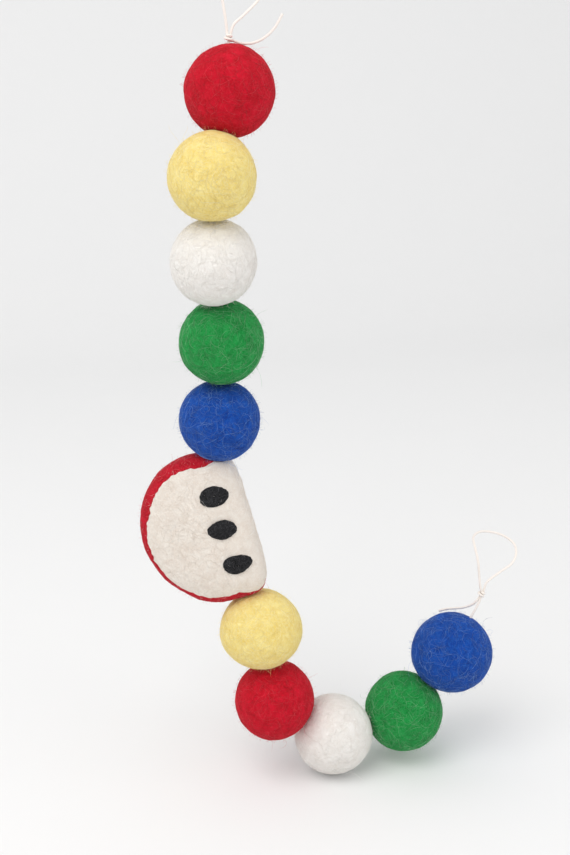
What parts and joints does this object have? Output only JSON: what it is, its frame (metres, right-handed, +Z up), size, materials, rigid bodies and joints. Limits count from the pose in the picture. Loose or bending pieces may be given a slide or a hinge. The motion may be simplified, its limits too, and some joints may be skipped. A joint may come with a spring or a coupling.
{
  "type": "felt ball garland",
  "caption": "Hanging garland of felted wool balls and a felt apple slice threaded on a white string with a knotted loop at each end.",
  "frame": {"origin": "inside of the top loop's highest point, where the garland rests on what holds it", "axes": "+Z up; the garland hangs in the XZ plane and its free end comes up towards +X; the apple seeds face -Y"},
  "size_m": [0.1208, 0.0325, 0.2449],
  "materials": {
    "red_felt": "needle-felted wool, matt, slightly fuzzy",
    "yellow_felt": "needle-felted wool, matt, slightly fuzzy",
    "white_felt": "needle-felted wool, matt, slightly fuzzy",
    "green_felt": "needle-felted wool, matt, slightly fuzzy",
    "blue_felt": "needle-felted wool, matt, slightly fuzzy",
    "flesh_felt": "needle-felted wool, matt, soft",
    "skin_felt": "needle-felted wool, matt, fibrous edge",
    "seed_felt": "needle-felted wool, matt, pale stray fibres",
    "string": "smooth off-white cord"
  },
  "bodies": {
    "root": {"ball_01_red": "red_felt", "ball_02_yellow": "yellow_felt", "ball_03_white": "white_felt", "ball_04_green": "green_felt", "ball_05_blue": "blue_felt", "apple_flesh": "flesh_felt", "apple_skin": "skin_felt", "apple_seed_1": "seed_felt", "apple_seed_2": "seed_felt", "apple_seed_3": "seed_felt", "ball_06_yellow": "yellow_felt", "ball_07_red": "red_felt", "ball_08_white": "white_felt", "ball_09_green": "green_felt", "ball_10_blue": "blue_felt", "string": "string"}
  },
  "joints": []
}
